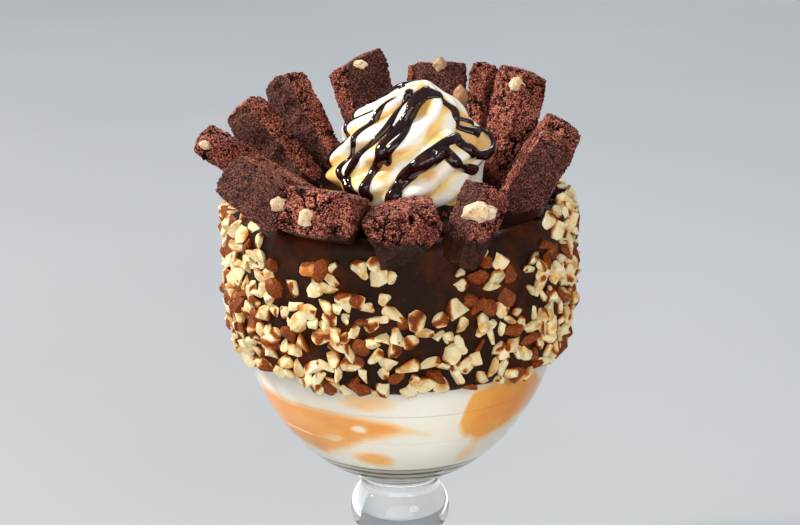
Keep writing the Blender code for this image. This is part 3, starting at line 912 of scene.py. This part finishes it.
def shape_finger(mesh, number):
    """Presses in a finger's hollows, narrows the foremost one's foot, and marks its crust, partly painted
    shade, and its dip.
    """
    points, facing = points_of(mesh)
    for *place, radius, depth in HOLLOWS.get(number, ()):
        away = np.linalg.norm(points - np.array(place) * MM, axis=1) / (radius * MM)
        points -= facing * (depth * MM * np.clip(1 - away ** 2, 0, 1) ** 0.7)[:, None]
    if number == FOREMOST:
        points[:, 0] += (-4 * MM - points[:, 0]) * 0.5 * smooth_step(190 * MM, 174 * MM, points[:, 2])
    mesh.vertices.foreach_set("co", points.astype(np.float32).ravel())
    mesh.update()
    # The crust mark darkens these faces: partly baked crust, partly painted shade.
    crust = smooth_step(0.72, 0.93, facing @ np.array(CRUST_AND_SHADE_FACES.get(number, (0, 0, 0))))
    drift = np.array([4 * MM * wave(point, 90, 6) for point in points])
    write_attribute(mesh, "crust", crust)
    write_attribute(mesh, "dip", smooth_step(188 * MM, 180 * MM, points[:, 2] + drift))


def make_brownies(looks):
    look = looks.brownies
    material, tree = brownie_material(look), crumb_tree()
    for number, node in enumerate(BROWNIES, start=1):
        rough = smooth_finger(node, look.voxel)
        shape_finger(rough.data, number)
        finger = tree.build(rough, f"brownie_finger_{number:02d}", crumb=look.crumb,
                            height=look.roughness, shift=0.37 * number, material=material)
        remove(rough)
        on_body(finger, "brownie", node)


def walnut_material(look):
    """Baked walnut: cream with amber cracks, some pieces brown all over."""
    make = MaterialNodes("baked_walnut", {"Specular IOR Level": 0.4})
    clouds, veins = make.noise(210, 3.0), make.noise(330, distortion=1.5)
    vein = (veins - 0.5).math("ABSOLUTE").rise(0.035, 0.0)
    pale = make.mix(clouds.rise(0.35, 0.7), look.walnut, (0.72, 0.46, 0.22))
    veined = make.mix(vein * 0.8, pale, (0.26, 0.08, 0.03))
    color = make.mix(make.attribute("brown") * 0.85, veined, (0.34, 0.135, 0.05))
    return make.finish(color, 0.35 + clouds * 0.2, clouds, 0.4 * MM, 0.6)


def crumb_lump(draw, size, index):
    """A crumb that has fallen off a finger, 80 faces."""
    bm = bmesh.new()
    for vert in bmesh.ops.create_icosphere(bm, subdivisions=2, radius=1)["verts"]:
        vert.co *= (1 + 0.5 * wave(vert.co, 1.6, index)) * size / 2 * draw.uniform(0.85, 1.15)
    return mesh_of(bm, f"crumb_{index}")


def make_crumbs(looks):
    """Loose crumbs on the chocolate between the fingers' feet."""
    look = looks.brownies
    pool = bpy.data.objects["chocolate_pool"]
    points, facing = points_of(pool.data)
    ring = smooth_step(28 * MM, 40 * MM, np.hypot(points[:, 0], points[:, 1]))
    write_attribute(pool.data, "cover", ring * (facing[:, 2] > 0.3))
    draw = random.Random(9)
    lumps = [crumb_lump(draw, look.loose, index) for index in range(8)]
    crumbs = scatter(pool, "brownie_crumbs", lumps, spacing=2.6 * MM, density=90000.0, smallest=0.4,
                     largest=1.5, tilt=1.5, lift=0.4 * MM, seed=7,
                     material=bpy.data.materials["brownie_crumb"])
    on_body(crumbs, "brownie")


def make_walnuts(looks):
    """The walnut pieces that show in the fingers, each sunk into the nearest of them."""
    fingers = [surface_of(obj) for obj in bpy.data.objects if obj.name.startswith("brownie_finger")]
    bm = bmesh.new()
    brown = bm.verts.layers.float.new("brown")
    for index, (wish, half, tone) in enumerate(WALNUTS):
        found = [finger.find_nearest(Vector(wish) * MM) for finger in fingers]
        near = min(found, key=lambda spot: spot[3])
        place = near[0] - near[1] * 0.25 * min(half) * MM
        axis = Vector((math.sin(index), math.cos(index), 0.6)).normalized()
        turn = Matrix.Rotation(1.3 * index, 3, axis)
        for vert in bmesh.ops.create_icosphere(bm, subdivisions=4, radius=1)["verts"]:
            dent = 1 + 0.3 * wave(vert.co, 1.3, index) + 0.07 * wave(vert.co, 3.4, index)
            vert[brown] = tone
            grown = turn @ (vert.co * dent)
            vert.co = place + Vector([reach * part * MM for reach, part in zip(half, grown)])
    walnuts = mesh_of(bm, "walnut_pieces")
    on_body(add_object("walnut_pieces", walnuts, walnut_material(looks.brownies)), "nuts")


# ---- whipped cream ----

# The rosette's outline: share of its height, radius in mm and how far to the right in mm.
CREAM_OUTLINE = ((0, 25, 3), (0.08, 29, 3), (0.2, 31.5, 2.7), (0.44, 30.5, 4.5), (0.59, 26.8, 5.2),
                 (0.71, 21.5, 5.8), (0.84, 14, 6.6), (0.93, 7.5, 8.2), (0.98, 3.5, 9.4), (1, 0, 10))

# Where caramel stains it most: azimuth, height and half sizes in degrees and mm, and how strongly.
CREAM_STAINS = ((-148, 190, 26, 7, 0.5), (-22, 209, 24, 8, 0.6), (-72, 215, 14, 9, 0.1),
                (-42, 184, 18, 6, 0.6), (-122, 197, 18, 5, 0.35), (60, 200, 30, 8, 0.4),
                (130, 205, 25, 7, 0.4))


def cream_outline(share):
    """The rosette's radius and its middle's place along X at a share of its height."""
    shares, *columns = zip(*CREAM_OUTLINE)
    return [np.interp(share, shares, column) * MM for column in columns]


def on_rosette(angle, share):
    """Where a place on the rosette lies in its noise."""
    return on_circle(angle, 0.03, 0.05 * share)


def ridge_at(look, angle, share):
    """1 on the crest of a piped ridge and 0 in the valley beside it. The ridges turn as they climb."""
    bend = 0.8 * wave(on_rosette(angle, share), 28, 8)
    turn = look.lobes * angle + look.twist * 2 * math.pi * share + bend
    return math.sqrt(math.cos(turn / 2) ** 2 + 0.02)


def cream_point(look, angle, share, foot_z, top_z):
    """A point of the rosette's skin."""
    radius, centre = cream_outline(share)
    fade = min(1, radius / (14 * MM))
    place = on_rosette(angle, share)
    depth = look.lobe_depth * (1 + 0.7 * wave(place, 32, 4)) * fade
    tier = 1.5 * MM * math.sin(angle + look.tiers * 2 * math.pi * share + 0.6) * fade
    uneven = 1.6 * MM * wave(place, 60, 2) * fade
    reach = radius + depth * (ridge_at(look, angle, share) - 0.8) + tier + uneven
    x, y, z = on_circle(angle, reach, foot_z + (top_z - foot_z) * share)
    return x + centre, y, z


def cream_material(look):
    """Whipped cream, white and a little glossy, stained yellow by caramel in its valleys, with a painted
    glow of its own colour.
    """
    make = MaterialNodes("whipped_cream", {
        "Emission Strength": look.painted_glow, "Coat Weight": 0.15, "Subsurface Weight": 0.25,
        "Subsurface Radius": (4 * MM, 3 * MM, 1.5 * MM)})
    clouds, fine, stain = make.noise(75, 3.0, 0.55), make.noise(480, 3.0), make.attribute("stain")
    stained = (make.attribute("valley") * 0.5 + stain + clouds).rise(0.56, 0.9)
    yellow = make.mix((clouds + stain * 0.3).rise(0.46, 0.7), (0.96, 0.68, 0.20), look.stain)
    color = make.mix(stained * 0.9, look.color, yellow)
    # Painted glow: the cream gives out light of its own colour, standing in for light scattered inside it.
    make.drive("Emission Color", color)
    return make.finish(color, 0.42 - stained * 0.2, fine, 0.15 * MM, 0.4)


def make_cream(looks):
    look = looks.cream
    foot_z, top_z = CREAM_LOW.z - 1.0 * MM, CREAM_HIGH.z - 1.5 * MM
    foot, peak = ((cream_outline(share)[1], 0, height) for share, height in ((0, foot_z), (1, top_z)))
    rings = [[foot] + [cream_point(look, angle, step / 160, foot_z, top_z) for step in range(160)] + [peak]
             for angle in around(320)]
    cream = skin("cream_rosette", rings, cream_material(look))
    remesh(cream, 0.65 * MM, 2)
    points, _ = points_of(cream.data)
    shares = np.clip((points[:, 2] - foot_z) / (top_z - foot_z), 0, 1)
    angles = np.arctan2(points[:, 1], points[:, 0] - cream_outline(shares)[1])
    write_attribute(cream.data, "valley",
                    [1 - ridge_at(look, angle, share) for angle, share in zip(angles, shares)])
    write_attribute(cream.data, "stain", sum(
        strength * smooth_step(1.5, 0.3, np.hypot((np.degrees(angles) - azimuth) / wide,
                                                  (points[:, 2] / MM - height) / high))
        for azimuth, height, wide, high, strength in CREAM_STAINS))
    on_body(cream, "cream", "whipped_cream")


# ---- sauce ----

STRAND_STEPS = 90

# Strands of chocolate sauce down the rosette: how thick, then azimuths in degrees and heights in mm.
STRANDS = (
    (0.8, ((-178, 216), (-170, 208), (180, 198), (178, 188))),
    (1.0, ((-150, 222), (-145, 218), (-144, 212), (-141, 207), (-147, 202), (-152, 196), (-140, 190),
           (-134, 186))),
    (1.1, ((-120, 226), (-116, 222), (-118, 219), (-119, 214), (-126, 208), (-135, 203), (-140, 197),
           (-140, 193), (-126, 187))),
    (1.45, ((-60, 226), (-94, 224), (-98, 219), (-107, 213), (-115, 208), (-115, 203), (-120, 197),
            (-121, 191), (-121, 184))),
    (1.0, ((-42, 224), (-77, 223), (-90, 219), (-99, 212), (-108, 206), (-109, 199))),
    (1.35, ((5, 207), (1, 203), (-16, 200), (-33, 202), (-42, 206), (-46, 209), (-61, 209), (-77, 206),
            (-87, 201), (-96, 195), (-101, 188), (-103, 183))),
    (1.9, ((-72, 204), (-84, 200), (-94, 195), (-99, 189), (-100, 183))),
    (1.5, ((6, 201), (2, 197), (-12, 194), (-30, 195), (-50, 199), (-60, 204), (-67, 205), (-74, 201),
           (-86, 197), (-108, 185))),
    (1.25, ((-75, 227), (-42, 224), (-32, 219), (-34, 215), (-28, 211), (-14, 208), (4, 207))),
    (0.9, ((-31, 217), (-22, 215), (-11, 212), (0, 209), (6, 206), (2, 202))),
    (1.0, ((20, 190), (30, 200), (50, 210), (70, 219), (80, 227))),
    (1.2, ((60, 186), (72, 198), (84, 208), (96, 218), (110, 227))),
    (1.3, ((110, 186), (116, 198), (128, 208), (138, 218), (150, 227))),
    (0.9, ((160, 190), (150, 200), (152, 210), (160, 220), (170, 226))),
)


def smooth_path(corners, count):
    """A smooth curve through points in any number of dimensions (Catmull-Rom)."""
    corners = np.array([corners[0], *corners, corners[-1]], float)
    path = []
    for at in np.linspace(0, len(corners) - 3 - 1e-6, count):
        step, t = int(at), at - int(at)
        a, b, c, d = corners[step:step + 4]
        path.append(0.5 * (2 * b + (c - a) * t + (2 * a - 5 * b + 4 * c - d) * t * t
                           + (3 * b - a - 3 * c + d) * t ** 3))
    return np.array(path)


def on_cream(tree, azimuth, height):
    """The place on the rosette at an azimuth and a height, and which way it faces."""
    share = (height - CREAM_LOW.z) / (CREAM_HIGH.z - CREAM_LOW.z)
    axis = Vector((cream_outline(share)[1], 0, height))
    outwards = Vector(on_circle(math.radians(azimuth), 1, 0))
    place, facing, _, _ = tree.ray_cast(axis + outwards * 60 * MM, -outwards)
    return (place, facing) if place else (axis, Vector((0, 0, 1)))


def tube(name, places, facings, radii, sides=10):
    """A rounded strand along places, flattened against the surface that they lie on."""
    places = [Vector(place) for place in places]
    rings = []
    for turn in around(sides):
        line = [places[0]]
        for index, (place, facing, radius) in enumerate(zip(places, facings, radii)):
            along = (places[min(index + 1, len(places) - 1)] - places[max(index - 1, 0)]).normalized()
            across = along.cross(facing).normalized()
            up = across.cross(along)
            line.append(place + across * radius * math.cos(turn) + up * 0.75 * radius * math.sin(turn))
        rings.append(line + [places[-1]])
    return skin(name, rings)


def joined(name, objects, material):
    """Several meshes as one object."""
    bm = bmesh.new()
    for obj in objects:
        bm.from_mesh(obj.data)
    remove(*objects)
    return add_object(name, mesh_of(bm, name), material)


def sauce_material(look):
    """Chocolate sauce: very dark and wet."""
    make = MaterialNodes("chocolate_sauce")
    clouds = make.noise(160)
    color = make.mix(clouds.rise(0.4, 0.7), look.color, (0.040, 0.008, 0.005))
    return make.finish(color, 0.06 + clouds * 0.12, clouds, 0.2 * MM, 0.3)


def bridged(places, reach=5, sag=0.9 * MM):
    """Lifts a strand's places out of the valleys between two ridges, as thick sauce bridges them."""
    far = [math.hypot(place[0], place[1]) for place in places]
    lifted = []
    for index, place in enumerate(places):
        before, after = max(far[max(index - reach, 0):index + 1]), max(far[index:index + reach + 1])
        outwards = Vector((place[0], place[1], 0)).normalized()
        lifted.append(Vector(place) + outwards * max(min(before, after) - sag - far[index], 0))
    return lifted


def make_strands(looks):
    """Strands of chocolate sauce that hug the rosette's ridges."""
    sauce = looks.sauce
    surface = surface_of(bpy.data.objects["cream_rosette"])
    tubes = []
    for number, (thick, corners) in enumerate(STRANDS):
        azimuths, heights = zip(*corners)
        azimuths = np.degrees(np.unwrap(np.radians(azimuths)))
        path = smooth_path(list(zip(azimuths, heights)), STRAND_STEPS)
        spots = [on_cream(surface, azimuth, height * MM) for azimuth, height in path]
        places = smooth_path(bridged([place for place, _ in spots])[::3], STRAND_STEPS)
        radii = []
        for index, place in enumerate(places):
            ends = min(1, 0.4 + index / 6, 0.4 + (len(places) - 1 - index) / 6)
            radii.append(sauce.strand * thick * ends * (1 + 0.45 * wave(place, 120, number)))
        tubes.append(tube(f"strand_{number}", places, [facing for _, facing in spots], radii))
    strands = joined("sauce_strands", tubes, sauce_material(sauce))
    remesh(strands, 0.35 * MM, 4)
    on_body(strands, "chocolate")


# ---- stage ----

def floor_material(look):
    """A plain pale floor with faint clouds."""
    make = MaterialNodes("floor")
    darker = tuple(0.94 * value for value in look.floor)
    make.drive("Base Color", make.mix(make.noise(2.4, 3.0).rise(0.3, 0.7), darker, look.floor))
    return make.material


def lamp(name, place, aim, size, power, color):
    light = bpy.data.lights.new(name, "AREA")
    light.shape = "DISK"
    light.size = size
    light.energy = power
    light.color = color
    obj = add_object(name, light)
    obj.location = place
    obj.rotation_euler = (Vector(aim) - Vector(place)).to_track_quat("-Z", "Y").to_euler()


def make_stage(looks):
    look = looks.stage
    scene = bpy.context.scene
    floor = add_object("floor", bpy.data.meshes.new("floor"), floor_material(look))
    floor.data.from_pydata([(-6, -6, 0), (6, -6, 0), (6, 9, 0), (-6, 9, 0)], [], [(0, 1, 2, 3)])
    scene.world = bpy.data.worlds.new("studio")
    scene.world.use_nodes = True
    sky = scene.world.node_tree.nodes["Background"]
    sky.inputs["Color"].default_value = (0.86, 0.91, 1.0, 1)
    sky.inputs["Strength"].default_value = 0.34
    scene.view_settings.view_transform = "Standard"
    middle = (0, 0, 0.17)
    lamp("key", (-1.35, 0.1, 1.3), middle, 0.4, 40, (1.0, 0.97, 0.92))
    lamp("fill", (0.85, -1.15, 0.7), middle, 0.6, 3.5, (1.0, 0.98, 0.95))
    lamp("front", (0.0, -1.6, 0.3), (0, 0, 0.1), 2.0, 20.5, (1.0, 0.98, 0.96))
    lamp("back", (0.5, 2.4, 1.8), (0, 1.2, 0), 1.2, 24, (0.95, 0.98, 1.0))
    camera = bpy.data.cameras.new("camera")
    camera.sensor_width = 36
    camera.lens = look.lens
    scene.camera = add_object("camera", camera)
    tilt, away = look.elevation, look.distance
    scene.camera.location = (0, -away * math.cos(tilt), look.aim_z + away * math.sin(tilt))
    scene.camera.rotation_euler = (math.pi / 2 - tilt, 0, 0)


# ---- operators ----

def run(context, *makers):
    """Calls makers with the settings."""
    for make in makers:
        make(context.scene.sundae)
    return {"FINISHED"}


class SUNDAE_OT_stage(bpy.types.Operator):
    """Set up the floor, the light and the camera"""
    bl_idname = "sundae.stage"
    bl_label = "Stage"

    def execute(self, context):
        return run(context, make_stage)


class SUNDAE_OT_glass(bpy.types.Operator):
    """Turn the footed glass from its outline"""
    bl_idname = "sundae.glass"
    bl_label = "Glass"

    def execute(self, context):
        return run(context, make_glass)


class SUNDAE_OT_filling(bpy.types.Operator):
    """Fill the glass with ice cream and caramel"""
    bl_idname = "sundae.filling"
    bl_label = "Ice Cream and Caramel"

    def execute(self, context):
        return run(context, make_filling)


class SUNDAE_OT_coat(bpy.types.Operator):
    """Coat the bowl and the ice cream's edge with chocolate"""
    bl_idname = "sundae.coat"
    bl_label = "Chocolate Coat"

    def execute(self, context):
        return run(context, make_coat, make_pool)


class SUNDAE_OT_almonds(bpy.types.Operator):
    """Press chopped almonds into the coat"""
    bl_idname = "sundae.almonds"
    bl_label = "Almonds"

    def execute(self, context):
        return run(context, make_almonds)


class SUNDAE_OT_brownies(bpy.types.Operator):
    """Make the brownie fingers, their crumbs and their walnuts"""
    bl_idname = "sundae.brownies"
    bl_label = "Brownie Fingers"

    def execute(self, context):
        return run(context, make_brownies, make_crumbs, make_walnuts)


class SUNDAE_OT_cream(bpy.types.Operator):
    """Pipe the cream rosette"""
    bl_idname = "sundae.cream"
    bl_label = "Cream Rosette"

    def execute(self, context):
        return run(context, make_cream)


class SUNDAE_OT_sauce(bpy.types.Operator):
    """Drizzle the rosette with chocolate sauce"""
    bl_idname = "sundae.sauce"
    bl_label = "Sauce"

    def execute(self, context):
        return run(context, make_strands)


OPERATORS = (SUNDAE_OT_stage, SUNDAE_OT_glass, SUNDAE_OT_filling, SUNDAE_OT_coat, SUNDAE_OT_almonds,
             SUNDAE_OT_brownies, SUNDAE_OT_cream, SUNDAE_OT_sauce)


class SUNDAE_PT_panel(bpy.types.Panel):
    """Lists the steps that build the sundae, each with its sizes and colours"""
    bl_label = "Sundae"
    bl_idname = "SUNDAE_PT_panel"
    bl_space_type = "VIEW_3D"
    bl_region_type = "UI"
    bl_category = "Sundae"

    def draw(self, context):
        for operator in OPERATORS:
            self.layout.operator(operator.bl_idname)
            look = getattr(context.scene.sundae, operator.bl_idname.split(".")[1])
            for name in type(look).__annotations__:
                self.layout.prop(look, name)


SETTINGS = (GlassSettings, FillingSettings, CoatSettings, AlmondSettings, BrownieSettings, CreamSettings,
            SauceSettings, StageSettings, SundaeSettings)
CLASSES = (*SETTINGS, *OPERATORS, SUNDAE_PT_panel)


def register():
    for cls in CLASSES:
        bpy.utils.register_class(cls)
    bpy.types.Scene.sundae = PointerProperty(type=SundaeSettings)


def unregister():
    del bpy.types.Scene.sundae
    for cls in reversed(CLASSES):
        bpy.utils.unregister_class(cls)


def main():
    register()
    noise.seed_set(NOISE_SEED)
    for operator in OPERATORS:
        group, name = operator.bl_idname.split(".")
        getattr(getattr(bpy.ops, group), name)()


if __name__ == "__main__":
    main()
